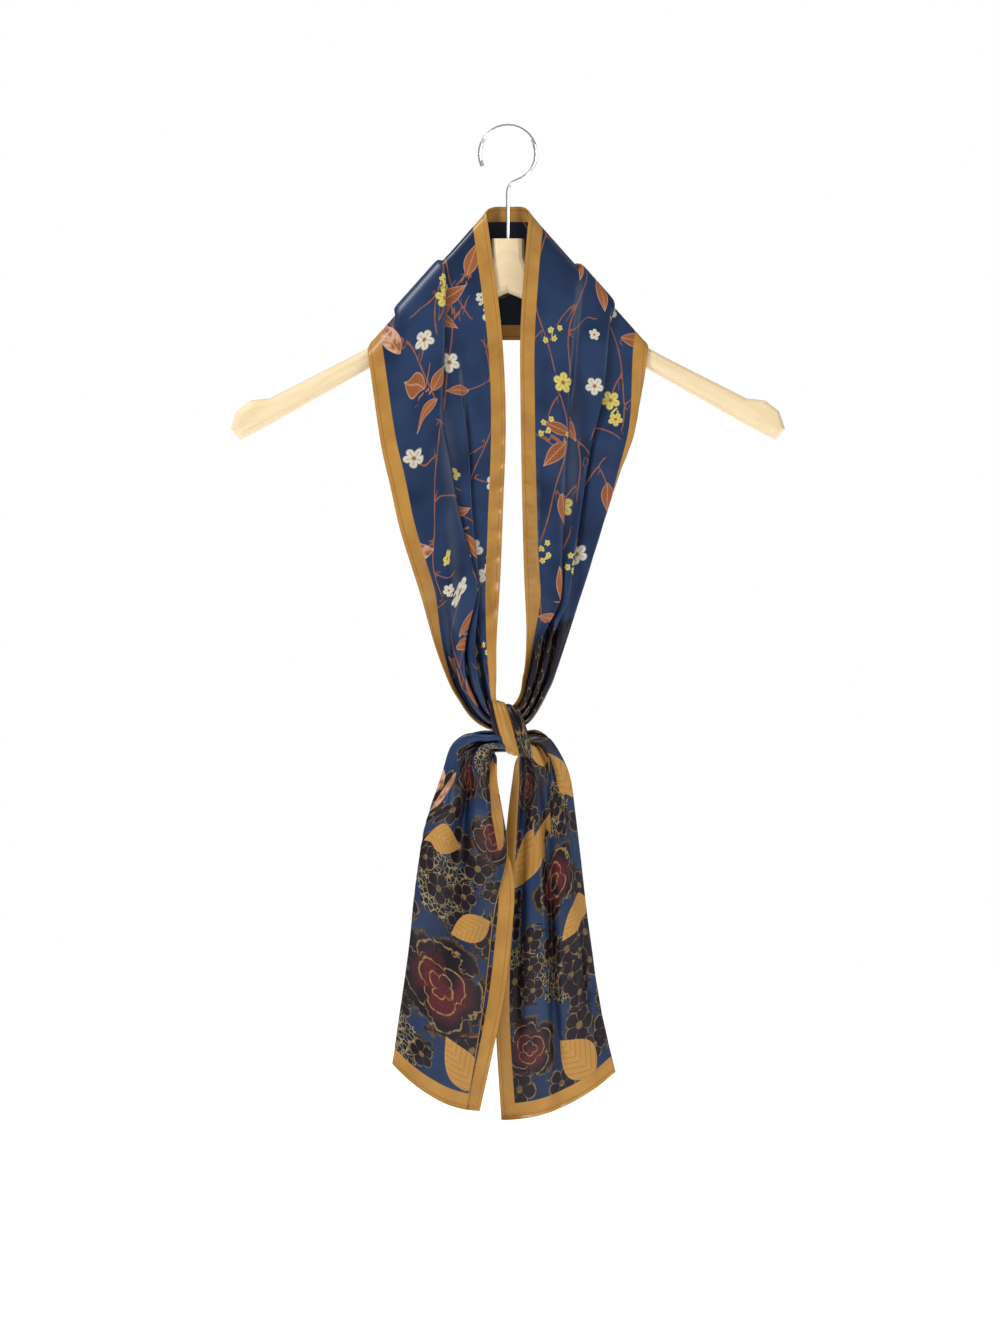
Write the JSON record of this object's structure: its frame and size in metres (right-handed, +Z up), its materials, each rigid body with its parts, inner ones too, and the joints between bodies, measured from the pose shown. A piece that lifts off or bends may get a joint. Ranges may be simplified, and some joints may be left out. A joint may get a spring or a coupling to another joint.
{
  "type": "oblong scarf on a clothes hanger",
  "caption": "Narrow satin scarf looped round the neck of a wooden clothes hanger and tied in a small knot, its two ends hanging below.",
  "frame": {"origin": "inside top of the hanger's hook, where a rail touches it", "axes": "+Z up, -Y the front with the knot, +X to the right seen from the front"},
  "size_m": [0.4228, 0.0516, 0.76],
  "materials": {
    "satin_navy": "satin weave with a soft sheen, printed",
    "satin_border": "satin weave, ochre border",
    "satin_dark": "satin weave with a soft sheen, printed",
    "maple": "clear matt varnish",
    "steel": "bright"
  },
  "bodies": {
    "root": {"neck_loop": "satin_navy", "knot_wrap": "satin_border", "tail_left": "satin_dark", "tail_right": "satin_dark", "hanger_wood": "maple", "hanger_hook": "steel"}
  },
  "joints": []
}
